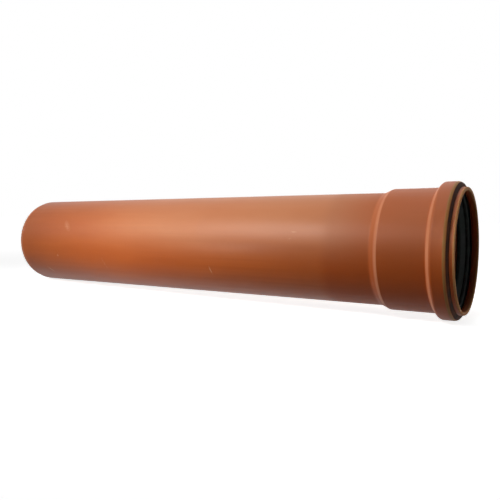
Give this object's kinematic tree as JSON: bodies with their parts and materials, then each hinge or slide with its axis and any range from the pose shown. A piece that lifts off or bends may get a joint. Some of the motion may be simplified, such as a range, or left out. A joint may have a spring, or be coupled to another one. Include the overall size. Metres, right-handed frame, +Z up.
{
  "type": "pvc sewer pipe",
  "caption": "Orange-brown PVC sewer pipe with a plain bevelled spigot at one end and a push-fit socket with a beaded groove and a rubber lip seal at the other.",
  "frame": {"origin": "on the floor below the middle of the pipe, under its axis", "axes": "+X along the pipe's axis from the spigot to the mouth of the socket, +Z up from the floor"},
  "size_m": [0.5704, 0.128, 0.1279],
  "materials": {
    "pvc": "satin",
    "rubber": "matte"
  },
  "bodies": {
    "root": {"pipe": "pvc", "seal_ring": "rubber"}
  },
  "joints": []
}
